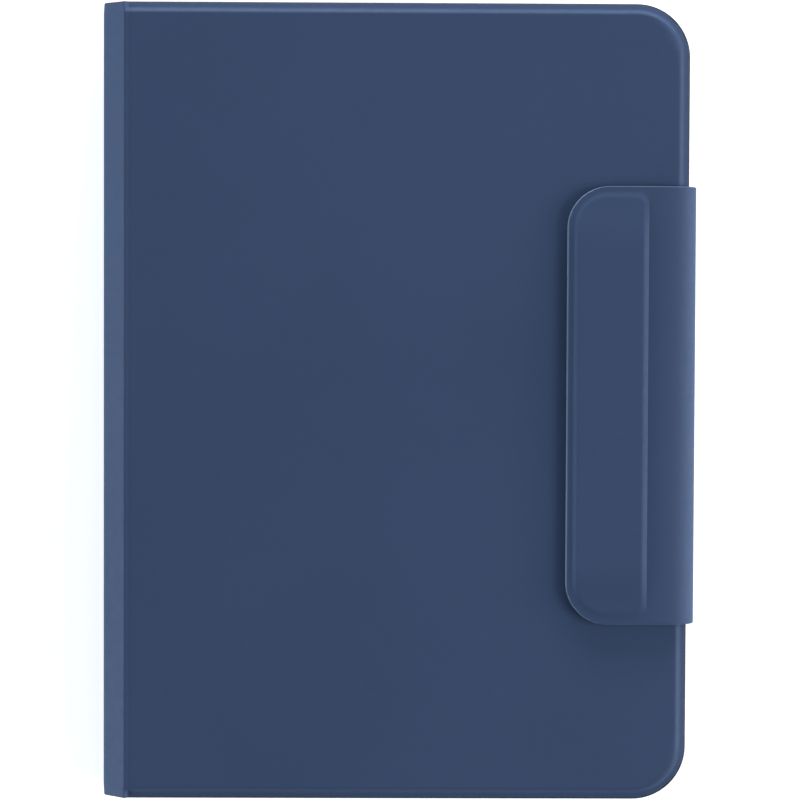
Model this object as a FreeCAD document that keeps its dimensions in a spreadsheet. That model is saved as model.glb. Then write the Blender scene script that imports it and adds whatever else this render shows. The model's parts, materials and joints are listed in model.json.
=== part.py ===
import FreeCAD, Part
import os
import re
import Sketcher

# A tablet keyboard case, closed and lying on its back cover: millimetres, +X from the spine to the flap and
# +Z up, with the origin at the middle of the underside. The front cover carries the keyboard, keys down, and
# the back cover carries the tray. Four folds in the spine open the front cover flat, and three open the flap.

V = FreeCAD.Vector
UP = V(0, 0, 1)
ALONG = V(0, 1, 0)

# Each driving dimension: its name, its value in millimetres, and what it is.
SIZES = [
    ("case_length", 260.0, "length of both covers along the spine"),
    ("case_right", 94.15, "free edge of both covers"),
    ("case_thick", 22.6, "closed thickness, without the flap"),
    ("corner_round", 17.4, "radius of the covers' free corners"),
    ("rim_chamfer", 1.6, "bevel round the covers' outer edges"),
    ("skin_thick", 0.7, "faux leather over a cover"),
    ("board_thick", 1.2, "board in a cover"),
    ("lining_thick", 0.7, "lining of a cover"),
    ("lining_inset", 0.8, "how far a lining stops inside the skin's edge"),
    ("board_inset", 3.2, "how far the board's recess stops inside the skin's edge"),
    ("board_play", 0.2, "gap round a board in its recess"),
    ("stand_crease", 1.85, "middle of the back cover's crease"),
    ("crease_gap", 3.0, "gap between the two back boards"),
    ("spine_left", -96.85, "outer face of the spine wall"),
    ("spine_fold", -90.45, "where the shoulders meet the covers"),
    ("shoulder_rise", 6.4, "height of one shoulder"),
    ("hinge_deep", 0.7, "depth of a fold line under the outer surface"),
    ("knuckle_shift", 0.29, "hinge_deep x tan 22.5 degrees"),
    ("end_gap", 0.95, "from a fold line to the square end of the next sheet"),
    ("wrap_thick", 0.8, "faux leather of a folding sheet"),
    ("liner_thick", 0.6, "lining of a folding sheet"),
    ("liner_gap", 1.3, "from a fold line to the end of a liner"),
    ("stiff_thick", 0.6, "stiffener in the spine wall"),
    ("flap_right", 96.85, "outer face of the flap's strap"),
    ("flap_near", -73.3, "near end of the flap"),
    ("flap_long", 144.0, "length of the flap along the edge"),
    ("flap_left", 54.6, "inner edge of the flap on the front cover"),
    ("flap_middle", 24.0, "height of the middle of the flap's sheet over the cover"),
    ("flap_bevel", 3.3, "width and height of the flap's shoulder"),
    ("flap_round", 13.8, "radius of the flap's corners"),
    ("root_gap", 1.25, "from the flap's root fold to the strap"),
    ("root_lap", 6.0, "how far the flap's root reaches into the back cover"),
    ("panel_inset", 3.3, "from the flap's edge to its raised panel"),
    ("panel_wide", 23.3, "width of the raised panel"),
    ("panel_rise", 1.0, "height of the raised panel, and its board"),
    ("panel_slope", 0.6, "bevel round the raised panel"),
    ("panel_wall", 1.5, "faux leather round the flap's board"),
    ("magnet_long", 20.0, "length of one flap magnet"),
    ("magnet_wide", 9.0, "width of one flap magnet"),
    ("plate_long", 118.0, "length of the steel closure plate"),
    ("plate_wide", 18.0, "width of the steel closure plate"),
    ("plate_thick", 0.8, "thickness of the steel closure plate"),
    ("bond_thick", 0.2, "adhesive under the tray"),
    ("pocket_long", 251.2, "tablet pocket along the spine"),
    ("pocket_wide", 174.7, "tablet pocket across"),
    ("pocket_deep", 7.7, "depth of the tablet pocket under the lip"),
    ("tray_wall", 1.6, "wall of the tray"),
    ("tray_floor", 1.4, "floor of the tray"),
    ("tray_round", 12.0, "outer corner radius of the tray"),
    ("lip_thick", 1.1, "thickness of the lip that holds the tablet"),
    ("lip_reach", 1.2, "how far the lip reaches over the tablet"),
    ("plug_wide", 14.0, "width of the plug's opening in the tray's wall"),
    ("plug_tall", 6.0, "height of the plug's opening"),
    ("plug_lift", 0.9, "from the tray's floor to the plug's opening"),
    ("sound_first", 26.0, "from the middle of the wall to the first sound opening"),
    ("sound_step", 11.0, "distance between sound openings"),
    ("sound_wide", 8.0, "width of a sound opening"),
    ("sound_tall", 2.5, "height of a sound opening"),
    ("sound_lift", 2.6, "from the tray's floor to a sound opening"),
    ("power_left", 66.0, "start of the power button's slot"),
    ("power_wide", 15.0, "length of the power button's slot"),
    ("volume_up_near", 92.0, "start of the upper volume button's slot"),
    ("volume_down_near", 78.0, "start of the lower volume button's slot"),
    ("volume_long", 11.0, "length of a volume button's slot"),
    ("slot_tall", 4.0, "height of a button's slot"),
    ("slot_lift", 2.0, "from the tray's floor to a button's slot"),
    ("pad_play", 0.3, "gap round a button pad in its slot"),
    ("pad_extra", 0.2, "how much thicker a button pad is than the tray's wall"),
    ("camera_x", 78.0, "middle of the camera window, across"),
    ("camera_y", 112.0, "middle of the camera window, along"),
    ("camera_r", 6.5, "radius of the camera window's hole"),
    ("ring_wall", 0.8, "wall of the camera ring"),
    ("board_long", 246.0, "length of the keyboard"),
    ("board_wide", 170.0, "width of the keyboard"),
    ("deck_level", 14.6, "outer face of the keyboard's deck"),
    ("deck_thick", 1.0, "thickness of the deck"),
    ("case_wall", 1.4, "side wall of the keyboard"),
    ("base_thick", 1.2, "thickness of the keyboard's bottom case"),
    ("keyboard_round", 7.0, "corner radius of the keyboard"),
    ("key_pitch", 16.7, "distance between keys"),
    ("key_space", 2.2, "gap between two caps"),
    ("key_margin", 5.0, "from the keyboard's near edge to the first row"),
    ("function_pitch", 9.8, "depth of the function row"),
    ("key_proud", 1.1, "how far a cap stands out of the deck"),
    ("key_tall", 2.5, "height of a cap"),
    ("key_round", 1.4, "corner radius of a cap"),
    ("key_chamfer", 0.3, "bevel of a cap's top"),
    ("key_play", 0.4, "gap between a cap and its opening"),
    ("dome_wide", 2.6, "foot radius of a rubber dome"),
    ("dome_top", 1.4, "top radius of a rubber dome"),
    ("dome_tall", 1.6, "height of a rubber dome"),
    ("membrane_thick", 0.5, "key membrane"),
    ("support_thick", 0.5, "steel plate under the membrane"),
    ("screw_x", 81.0, "screws, from the middle of the keyboard across"),
    ("screw_y", 119.4, "screws, from the middle of the keyboard along"),
    ("boss_r", 1.9, "radius of a screw boss"),
    ("screw_r", 0.7, "radius of a screw's shank"),
    ("screw_head_r", 1.5, "radius of a screw's head"),
    ("screw_head_tall", 0.6, "height of a screw's head"),
    ("screw_long", 3.4, "length of a screw"),
    ("ridge_x", -18.0, "middle of the grip strip"),
    ("ridge_wide", 4.0, "width of the grip strip"),
    ("ridge_long", 224.0, "length of the grip strip"),
    ("ridge_tall", 1.2, "height of the grip strip"),
    ("control_x", -28.0, "middle of the switch, the button and the lights"),
    ("switch_y", 103.0, "middle of the power switch's slot"),
    ("switch_travel", 3.0, "travel of the power switch"),
    ("switch_play", 0.3, "gap at either end of the power switch"),
    ("slot_wide", 4.0, "width of the power switch's slot"),
    ("knob_wide", 3.4, "width of the power switch"),
    ("knob_long", 6.4, "length of the power switch"),
    ("knob_tall", 1.7, "height of the power switch"),
    ("knob_proud", 0.7, "how far the power switch stands out of the deck"),
    ("knob_shift", 1.8, "from the middle of the slot back to the switch's near end"),
    ("pairing_y", 88.0, "middle of the pairing button"),
    ("pairing_r", 2.5, "radius of the pairing button"),
    ("pairing_tall", 1.8, "height of the pairing button"),
    ("pairing_proud", 0.4, "how far the pairing button stands out of the deck"),
    ("pairing_play", 0.3, "gap round the pairing button"),
    ("light_y", 76.0, "first indicator light"),
    ("light_r", 0.9, "radius of an indicator light"),
    ("light_step", 5.0, "distance between indicator lights"),
    ("bumper_r", 1.8, "radius of a bumper pad"),
    ("bumper_tall", 1.5, "height of a bumper pad"),
    ("bumper_y", 120.3, "bumper pads, from the middle of the keyboard along"),
    ("strip_round", 0.8, "rounding of the grip strip's long edges"),
    ("battery_left", -76.0, "left side of the battery and of the circuit board"),
    ("battery_near", -60.0, "near end of the battery"),
    ("battery_wide", 46.0, "width of the battery"),
    ("battery_long", 96.0, "length of the battery"),
    ("battery_thick", 2.9, "thickness of the battery"),
    ("circuit_near", 48.0, "near end of the circuit board"),
    ("circuit_wide", 38.0, "width of the circuit board"),
    ("circuit_long", 62.0, "length of the circuit board"),
    ("circuit_thick", 1.0, "thickness of the circuit board"),
    ("bar_wide", 5.0, "width of a magnet behind the grip strip"),
    ("bar_long", 26.0, "length of a magnet behind the grip strip"),
    ("bar_thick", 2.0, "thickness of a magnet behind the grip strip"),
    ("port_x", -58.0, "middle of the charging port"),
    ("port_wide", 8.94, "width of the charging port's shell"),
    ("port_deep", 7.3, "depth of the charging port's shell"),
    ("port_tall", 3.1, "height of the charging port's shell"),
    ("port_wall", 0.35, "wall of the charging port's shell"),
    ("port_play", 0.15, "gap at either side of the charging port"),
    ("tongue_wide", 6.6, "width of the charging port's tongue"),
    ("tongue_thick", 0.7, "thickness of the charging port's tongue"),
]
NAMES = {name for name, _, _ in SIZES}
ROWS = 5
UNITS_IN_ROW = 14

doc = FreeCAD.newDocument("KeyboardCase")
sheet = doc.addObject("Spreadsheet::Sheet", "Sizes")
for line, (name, value, meaning) in enumerate(SIZES, start=1):
    sheet.set(f"A{line}", name)
    sheet.set(f"B{line}", str(value))
    sheet.setAlias(f"B{line}", name)
    sheet.set(f"C{line}", meaning)
doc.recompute()
nodes = []


def size(name):
    """One driving dimension, read from the sheet."""
    return float(sheet.get(name))


def bound(expression):
    """The expression with each size's name pointed at its cell."""

    def cell(word):
        return f"Sizes.{word.group()}" if word.group() in NAMES else word.group()

    return re.sub(r"[a-z_]+", cell, expression)


def bind(thing, **expressions):
    for path, expression in expressions.items():
        thing.setExpression(path.replace("__", "."), bound(expression))


def keep(thing):
    """Marks an object as a sub-part, whose label names its file."""
    nodes.append(thing)
    return thing


# ---- Part Design helpers


def new_body(label):
    body = doc.addObject("PartDesign::Body", label)
    body.Label = label
    return body


def new_sketch(body, name, left, near, level):
    """A sketch at a level, with its own origin at (left, near)."""
    sketch = body.newObject("Sketcher::SketchObject", name)
    plane = next(f for f in body.Origin.OriginFeatures if f.Role == "XY_Plane")
    sketch.AttachmentSupport = (plane, [""])
    sketch.MapMode = "FlatFace"
    bind(
        sketch,
        AttachmentOffset__Base__x=left,
        AttachmentOffset__Base__y=near,
        AttachmentOffset__Base__z=level,
    )
    return sketch


def rectangle(body, name, left, near, level, width, depth):
    """A rectangle from (left, near), width across and depth along the spine."""
    sketch = new_sketch(body, name, left, near, level)
    corners = [V(0, 0, 0), V(10, 0, 0), V(10, 10, 0), V(0, 10, 0)]
    for index, corner in enumerate(corners):
        sketch.addGeometry(Part.LineSegment(corner, corners[(index + 1) % 4]), False)
    for index in range(4):
        sketch.addConstraint(constraint("Coincident", index, 2, (index + 1) % 4, 1))
    for index, kind in enumerate(("Horizontal", "Vertical", "Horizontal", "Vertical")):
        sketch.addConstraint(constraint(kind, index))
    sketch.addConstraint(constraint("Coincident", 0, 1, -1, 1))
    across = sketch.addConstraint(constraint("DistanceX", 0, 1, 0, 2, 10.0))
    along = sketch.addConstraint(constraint("DistanceY", 1, 1, 1, 2, 10.0))
    sketch.setExpression(f"Constraints[{across}]", bound(width))
    sketch.setExpression(f"Constraints[{along}]", bound(depth))
    return sketch


def circle(body, name, left, near, level, radius):
    sketch = new_sketch(body, name, left, near, level)
    sketch.addGeometry(Part.Circle(V(0, 0, 0), UP, 1.0), False)
    sketch.addConstraint(constraint("Coincident", 0, 3, -1, 1))
    round_ = sketch.addConstraint(constraint("Radius", 0, 1.0))
    sketch.setExpression(f"Constraints[{round_}]", bound(radius))
    return sketch


def constraint(*terms):
    return Sketcher.Constraint(*terms)


def pad(body, name, sketch, height):
    feature = body.newObject("PartDesign::Pad", name)
    feature.Profile = sketch
    bind(feature, Length=height)
    doc.recompute()
    return feature


def pocket(body, name, sketch, depth):
    """Cuts down from the sketch, and makes sure that something was cut."""
    before = body.Shape.Volume
    feature = body.newObject("PartDesign::Pocket", name)
    feature.Profile = sketch
    bind(feature, Length=depth)
    doc.recompute()
    if body.Shape.Volume >= before - 1e-6:
        raise RuntimeError(f"{body.Label}: {name} cuts nothing")
    return feature


def dress(body, kind, name, radius, chooser):
    """A fillet or a chamfer on the edges of the tip that the chooser picks."""
    base = body.Tip
    picked = [f"Edge{n}" for n, edge in enumerate(base.Shape.Edges, start=1) if chooser(edge)]
    feature = body.newObject(f"PartDesign::{kind}", name)
    feature.Base = (base, picked)
    bind(feature, **{"Radius" if kind == "Fillet" else "Size": radius})
    doc.recompute()
    return feature


def upright(edge):
    box = edge.BoundBox
    return box.ZLength > 0.1 and box.XLength < 1e-6 and box.YLength < 1e-6


def upright_near(x_low, x_high):
    """Picks the upright edges between two values of x."""
    return lambda e: upright(e) and x_low < e.BoundBox.XMin < x_high


def rim_at(level, x_low):
    """Picks the edges at a level, apart from any that lies on or left of x_low."""
    return lambda e: (
        abs(e.BoundBox.ZMin - level) < 1e-6 and e.BoundBox.ZLength < 1e-6 and e.BoundBox.XMax > x_low
    )


def plate(label, left, near, level, width, depth, height, radius=None, right_only=False):
    """A flat plate, with its corners rounded: all four, or those at the right only."""
    body = new_body(label)
    pad(body, label + "_pad", rectangle(body, label + "_outline", left, near, level, width, depth), height)
    if radius:
        middle = body.Shape.BoundBox.Center.x if right_only else -1e9
        dress(body, "Fillet", label + "_corners", radius, upright_near(middle, 1e9))
    return body


# ---- Part primitives


def block(label, left, near, level, width, depth, height):
    box = doc.addObject("Part::Box", label)
    bind(box, Length=width, Width=depth, Height=height)
    bind(box, Placement__Base__x=left, Placement__Base__y=near, Placement__Base__z=level)
    return box


def rod(label, x, y, level, radius, height):
    thing = doc.addObject("Part::Cylinder", label)
    bind(thing, Radius=radius, Height=height)
    bind(thing, Placement__Base__x=x, Placement__Base__y=y, Placement__Base__z=level)
    return thing


def roller(label, x, y, level, radius, length):
    """A cylinder along the spine's direction."""
    thing = doc.addObject("Part::Cylinder", label)
    thing.Placement.Rotation = FreeCAD.Rotation(V(1, 0, 0), -90)
    bind(thing, Radius=radius, Height=length)
    bind(thing, Placement__Base__x=x, Placement__Base__y=y, Placement__Base__z=level)
    return thing


def fused(label, things):
    result = doc.addObject("Part::MultiFuse", label)
    result.Shapes = things
    result.Refine = True
    return result


def gathered(label, things):
    """Separate pieces under one name."""
    result = doc.addObject("Part::Compound", label)
    result.Links = things
    return result


def cut(label, base, tool):
    result = doc.addObject("Part::Cut", label)
    result.Base = base
    result.Tool = tool
    return result


def feature(label, shape):
    result = doc.addObject("Part::Feature", label)
    result.Shape = shape
    result.Placement = FreeCAD.Placement()
    return result


# ---- covers

COVER_LEFT = "spine_fold + knuckle_shift + end_gap"
COVER_WIDE = "case_right - spine_fold - knuckle_shift - end_gap"
NEAR = "-case_length / 2"
HOLLOW_LEFT = "spine_fold + board_inset"
HOLLOW_WIDE = "case_right - spine_fold - board_inset * 2"
HOLLOW_NEAR = "board_inset - case_length / 2"
HOLLOW_LONG = "case_length - board_inset * 2"
BOARD_ROUND = "corner_round - board_inset"
SHELL = "skin_thick + board_thick"


def cover_skin(label, level, rim_level, hollow_level):
    """Faux leather that wraps the board's face and edges. The bevel runs round the three free sides."""
    body = plate(
        label + "_panel", COVER_LEFT, NEAR, level, COVER_WIDE, "case_length", SHELL, "corner_round", True
    )
    left = body.Shape.BoundBox.XMin + 1e-3
    dress(body, "Chamfer", label + "_rim", "rim_chamfer", rim_at(rim_level, left))
    hollow = plate(
        label + "_hollow", HOLLOW_LEFT, HOLLOW_NEAR, hollow_level, HOLLOW_WIDE, HOLLOW_LONG,
        "board_thick", BOARD_ROUND, True,
    )
    return cut(label, body, hollow)


def lining(label, level):
    return plate(
        label,
        "spine_fold + liner_gap * 2",
        "lining_inset - case_length / 2",
        level,
        "case_right - spine_fold - liner_gap * 2 - lining_inset",
        "case_length - lining_inset * 2",
        "lining_thick",
        "corner_round - lining_inset",
        True,
    )


def camera_hole(body, level, radius="camera_r"):
    ring = circle(body, body.Label + "_ring", "camera_x", "camera_y", level, radius)
    pocket(body, body.Label + "_camera", ring, "case_thick")


def board(label, left, width, level, rounded):
    return plate(
        label,
        left,
        HOLLOW_NEAR + " + board_play",
        level,
        width,
        HOLLOW_LONG + " - board_play * 2",
        "board_thick",
        BOARD_ROUND + " - board_play" if rounded else None,
        True,
    )


def back_cover():
    skin = cover_skin("back_skin_sheet", "0", 0.0, "skin_thick")
    window = rod("skin_window", "camera_x", "camera_y", "-1", "camera_r", "case_thick")
    open_skin = cut("back_skin_open", skin, window)
    root = block(
        "flap_root",
        "case_right - root_lap",
        "flap_near",
        "0",
        "flap_right - hinge_deep - case_right + root_lap",
        "flap_long",
        "hinge_deep * 2",
    )
    hollow = block(
        "root_hollow",
        "case_right - root_lap * 2",
        "flap_near - 1",
        "skin_thick",
        "root_lap * 2 - board_inset",
        "flap_long + 2",
        "board_thick",
    )
    tongue = cut("flap_root_tongue", root, hollow)
    knuckle = roller(
        "flap_root_knuckle", "flap_right - hinge_deep", "flap_near", "hinge_deep", "hinge_deep", "flap_long"
    )
    keep(fused("back_cover_skin", [open_skin, tongue, knuckle]))
    lower_wide = "stand_crease - crease_gap / 2 - spine_fold - board_inset - board_play"
    keep(board("back_board_lower", HOLLOW_LEFT + " + board_play", lower_wide, "skin_thick", False))
    upper_wide = "case_right - board_inset - board_play - stand_crease - crease_gap / 2"
    upper = keep(board("back_board_upper", "stand_crease + crease_gap / 2", upper_wide, "skin_thick", True))
    camera_hole(upper, SHELL, "camera_r + ring_wall")
    inner = keep(lining("back_cover_lining", SHELL))
    camera_hole(inner, SHELL + " + lining_thick")
    bond = keep(
        plate(
            "tray_bond_sheet",
            "stand_crease + crease_gap",
            "tray_round - case_length / 2",
            SHELL + " + lining_thick",
            "pocket_wide / 2 - tray_round",
            "case_length - tray_round * 2",
            "bond_thick",
            "tray_round / 2",
        )
    )
    camera_hole(bond, SHELL + " + lining_thick + bond_thick", "camera_r + ring_wall")


def front_cover():
    level = "case_thick - skin_thick - board_thick"
    keep(cover_skin("front_cover_skin", level, size("case_thick"), level))
    core = board(
        "front_board_panel",
        HOLLOW_LEFT + " + board_play",
        HOLLOW_WIDE + " - board_play * 2",
        level,
        True,
    )
    window = rectangle(
        core,
        "plate_window",
        "flap_left + panel_inset + (panel_wide - plate_wide) / 2 - board_play",
        "flap_near + (flap_long - plate_long) / 2 - board_play",
        level + " + plate_thick",
        "plate_wide + board_play * 2",
        "plate_long + board_play * 2",
    )
    pocket(core, "plate_recess", window, "plate_thick")
    core.Label = "front_cover_board"
    keep(core)
    keep(
        block(
            "closure_steel_plate",
            "flap_left + panel_inset + (panel_wide - plate_wide) / 2",
            "flap_near + (flap_long - plate_long) / 2",
            level,
            "plate_wide",
            "plate_long",
            "plate_thick",
        )
    )
    keep(lining("front_cover_lining", "case_thick - skin_thick - board_thick - lining_thick"))


# ---- folding sheets: each is drawn lying along +X from its first fold line, then turned into place


def folded_sheet(label, start, angle, length, near, long, outer, knuckles, ends, low, thick):
    """One layer of a sheet between two fold lines.

    outer is +1 or -1, the local side that faces out. low is the layer's depth under the outer surface.
    ends are the gaps at the first and second fold line, and knuckles gives the sheet round ends there.
    """
    first, second = ends
    top = f"hinge_deep - ({low})"
    level = f"{top} - ({thick})" if outer > 0 else f"-({top})"
    pieces = [
        block(label + "_web", first, "0", level, f"{length} - ({first}) - ({second})", long, thick)
    ]
    if knuckles:
        pieces.append(roller(label + "_first", "0", "0", "0", "hinge_deep", long))
        pieces.append(roller(label + "_second", length, "0", "0", "hinge_deep", long))
    whole = fused(label, pieces) if knuckles else gathered(label, pieces)
    turn_about_y(whole, start, angle, near)
    return keep(whole)


def turn_about_y(thing, start, angle, near):
    """Turns a piece by an angle about Y and moves its first fold line to start."""
    thing.Placement.Rotation = FreeCAD.Rotation(ALONG, angle)
    bind(thing, Placement__Base__x=start[0], Placement__Base__y=near, Placement__Base__z=start[1])


SPINE_IN = "shoulder_rise + knuckle_shift"
SHOULDER_LONG = "sqrt(2) * (shoulder_rise - hinge_deep + knuckle_shift)"


def spine():
    inner_x = "spine_fold + knuckle_shift"
    outer_x = "spine_left + hinge_deep"
    lower = (inner_x, "hinge_deep")
    middle = (outer_x, SPINE_IN)
    upper = (outer_x, "case_thick - " + SPINE_IN.replace("+", "-"))
    wall_long = "case_thick - 2 * (shoulder_rise + knuckle_shift)"
    full = ("case_length", 1)
    square = ("end_gap", "end_gap")
    inner = ("liner_gap", "liner_gap")
    deep = "wrap_thick + stiff_thick"
    for name, start, angle in (("lower", lower, -135), ("upper", upper, -45)):
        folded_sheet(
            name + "_shoulder_skin", start, angle, SHOULDER_LONG, NEAR, *full, True, ("0", "0"),
            "0", "wrap_thick",
        )
        folded_sheet(
            name + "_shoulder_lining", start, angle, SHOULDER_LONG, NEAR, *full, False, inner,
            "wrap_thick", "liner_thick",
        )
    folded_sheet("spine_skin", middle, -90, wall_long, NEAR, *full, False, square, "0", "wrap_thick")
    folded_sheet(
        "spine_stiffener", middle, -90, wall_long, NEAR, *full, False, inner, "wrap_thick", "stiff_thick"
    )
    folded_sheet("spine_lining", middle, -90, wall_long, NEAR, *full, False, inner, deep, "liner_thick")


def flap():
    strap_x = "flap_right - hinge_deep"
    strap_long = "flap_middle - flap_bevel - hinge_deep"
    side = ("flap_long", -1)
    folded_sheet(
        "flap_strap_skin", (strap_x, "hinge_deep"), -90, strap_long, "flap_near", *side, False,
        ("root_gap", "end_gap"), "0", "wrap_thick",
    )
    folded_sheet(
        "flap_strap_lining", (strap_x, "hinge_deep"), -90, strap_long, "flap_near", *side, False,
        ("liner_gap", "liner_gap"), "wrap_thick", "liner_thick",
    )
    crown = (strap_x, "flap_middle - flap_bevel")
    folded_sheet(
        "flap_shoulder_sheet", crown, -135, "flap_bevel * sqrt(2)", "flap_near", *side, True,
        ("0", "0"), "0", "hinge_deep * 2",
    )
    tab()


# From the near end of the flap to each of its magnets.
MAGNET_GAPS = (16, 48, 76, 108)


def tab():
    """The flap's tab on the front cover: two layers, with a board and magnets in a raised panel."""
    wide = "flap_right - hinge_deep - flap_bevel - end_gap - flap_left"
    low = "flap_middle - hinge_deep"
    base = "flap_middle + hinge_deep - wrap_thick"

    def corners_at(x):
        return upright_near(x - 0.1, x + 0.1)

    under = new_body("flap_tab_lining")
    sketch = rectangle(under, "tab_lining_outline", "flap_left", "flap_near", low, wide, "flap_long")
    pad(under, "tab_lining_pad", sketch, "liner_thick")
    dress(under, "Fillet", "tab_lining_corners", "flap_round", corners_at(size("flap_left")))
    keep(under)

    skin = new_body("tab_skin_sheet")
    sketch = rectangle(skin, "tab_skin_outline", "flap_left", "flap_near", base, wide, "flap_long")
    pad(skin, "tab_skin_pad", sketch, "wrap_thick")
    dress(skin, "Fillet", "tab_skin_corners", "flap_round", corners_at(size("flap_left")))
    panel_left = "flap_left + panel_inset"
    panel_near = "flap_near + panel_inset"
    panel_long = "flap_long - panel_inset * 2"
    panel = new_body("flap_panel")
    raised = rectangle(panel, "panel_outline", panel_left, panel_near, base, "panel_wide", panel_long)
    pad(panel, "panel_pad", raised, "wrap_thick + panel_rise")
    x_low = size("flap_left") + size("panel_inset")
    dress(panel, "Fillet", "panel_left_corners", "flap_round - panel_inset", corners_at(x_low))
    x_high = x_low + size("panel_wide")
    dress(panel, "Fillet", "panel_right_corners", "panel_inset", corners_at(x_high))
    top = size("flap_middle") + size("hinge_deep") + size("panel_rise")
    dress(panel, "Chamfer", "panel_rim", "panel_slope", rim_at(top, -1e9))
    inner_round = "flap_round - panel_inset - panel_wall"
    x_in = x_low + size("panel_wall")
    recess = new_body("panel_recess")
    inner = (
        panel_left + " + panel_wall", panel_near + " + panel_wall", base,
        "panel_wide - panel_wall * 2", panel_long + " - panel_wall * 2",
    )
    pad(recess, "panel_recess_pad", rectangle(recess, "panel_recess_outline", *inner), "panel_rise")
    dress(recess, "Fillet", "panel_recess_corners", inner_round, corners_at(x_in))
    keep(cut("flap_tab_skin", fused("tab_skin_blank", [skin, panel]), recess))

    stiff = new_body("stiffener_blank")
    pad(stiff, "stiffener_pad", rectangle(stiff, "stiffener_outline", *inner), "panel_rise")
    dress(stiff, "Fillet", "stiffener_corners", inner_round, corners_at(x_in))
    magnet_x = "flap_left + panel_inset + (panel_wide - magnet_wide) / 2"

    def magnets(label):
        """Four magnets in a row along the panel, evenly placed about its middle."""
        places = (f"flap_near + {gap}" for gap in MAGNET_GAPS)
        return [
            block(f"{label}_{n}", magnet_x, near, base, "magnet_wide", "magnet_long", "panel_rise")
            for n, near in enumerate(places)
        ]

    keep(cut("flap_stiffener", stiff, gathered("magnet_slots", magnets("magnet_slot"))))
    keep(gathered("flap_magnets", magnets("magnet")))


# ---- tablet tray

TRAY_LEVEL = SHELL + " + lining_thick + bond_thick"
TRAY_LEFT = "stand_crease - pocket_wide / 2 - tray_wall"
TRAY_NEAR = "-pocket_long / 2 - tray_wall"
FLOOR_LEVEL = TRAY_LEVEL + " + tray_floor"


def tray():
    wide = "pocket_wide + tray_wall * 2"
    long = "pocket_long + tray_wall * 2"
    tall = "tray_floor + pocket_deep + lip_thick"
    body = plate("tray_shell", TRAY_LEFT, TRAY_NEAR, TRAY_LEVEL, wide, long, tall, "tray_round")
    camera_hole(body, TRAY_LEVEL + " + " + tall)
    mouth = plate(
        "tray_mouth", TRAY_LEFT + " + tray_wall + lip_reach", TRAY_NEAR + " + tray_wall + lip_reach",
        FLOOR_LEVEL, "pocket_wide - lip_reach * 2", "pocket_long - lip_reach * 2",
        "pocket_deep + lip_thick", "tray_round - tray_wall - lip_reach",
    )
    room = plate(
        "tray_room", TRAY_LEFT + " + tray_wall", TRAY_NEAR + " + tray_wall", FLOOR_LEVEL, "pocket_wide",
        "pocket_long", "pocket_deep", "tray_round - tray_wall",
    )
    keep(cut("tablet_tray", body, fused("tray_openings", [mouth, room] + tray_openings())))


def tray_openings():
    """Openings in the tray's walls for the plug, the sound and the three buttons."""
    near_wall = "-pocket_long / 2 - tray_wall - 1"
    through = "tray_wall + 2"
    plug_level = FLOOR_LEVEL + " + plug_lift"
    sound_level = FLOOR_LEVEL + " + sound_lift"
    slot_level = FLOOR_LEVEL + " + slot_lift"
    plug_left = "stand_crease - plug_wide / 2"
    things = [block("plug_opening", plug_left, near_wall, plug_level, "plug_wide", through, "plug_tall")]
    for name, sign in (("left", "-"), ("right", "+")):
        for step in range(3):
            left = f"stand_crease {sign} (sound_first + sound_step * {step}) - sound_wide / 2"
            label = f"sound_{name}_{step}"
            things.append(block(label, left, near_wall, sound_level, "sound_wide", through, "sound_tall"))
    far_wall = "pocket_long / 2 - 1"
    things.append(
        block("power_slot", "power_left", far_wall, slot_level, "power_wide", through, "slot_tall")
    )
    side_wall = "stand_crease + pocket_wide / 2 - 1"
    for name in ("volume_up", "volume_down"):
        near = name + "_near"
        things.append(
            block(name + "_slot", side_wall, near, slot_level, through, "volume_long", "slot_tall")
        )
    return things


def button_pads():
    """Pads in the tray's walls, clear all round, proud of the wall and short of the pocket."""
    level = FLOOR_LEVEL + " + slot_lift + pad_play"
    thick = "tray_wall + pad_extra"
    tall = "slot_tall - pad_play * 2"
    far_wall = "pocket_long / 2 + pad_play"
    wide = "power_wide - pad_play * 2"
    keep(block("power_button_pad", "power_left + pad_play", far_wall, level, wide, thick, tall))
    side_wall = "stand_crease + pocket_wide / 2 + pad_play"
    for name in ("volume_up", "volume_down"):
        near = name + "_near + pad_play"
        keep(block(name + "_pad", side_wall, near, level, thick, "volume_long - pad_play * 2", tall))


def camera_ring():
    outer = rod("ring_outer", "camera_x", "camera_y", "0.2", "camera_r - 0.05", FLOOR_LEVEL + " - 0.2")
    inner = rod("ring_inner", "camera_x", "camera_y", "0", "camera_r - ring_wall", "case_thick")
    keep(cut("camera_ring", outer, inner))


# ---- keys

# Each row from the user's left: the node's name and the key's width in units. A repeated name is one node.
KEY_ROWS = [
    [("modifier_keys", 1.0)] * 3 + [("modifier_keys", 1.25), ("space_key", 5.5), ("modifier_keys", 1.25)],
    [("left_shift_key", 2.25)] + [("lower_letter_keys", 1.0)] * 10 + [("right_shift_key", 1.75)],
    [("caps_key", 1.75)] + [("home_letter_keys", 1.0)] * 11 + [("enter_key", 1.25)],
    [("tab_key", 1.25)] + [("upper_letter_keys", 1.0)] * 12 + [("upper_letter_keys", 0.75)],
    [("number_keys", 1.0)] * 13 + [("backspace_key", 1.0)],
]
FUNCTION_KEYS = 14


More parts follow.
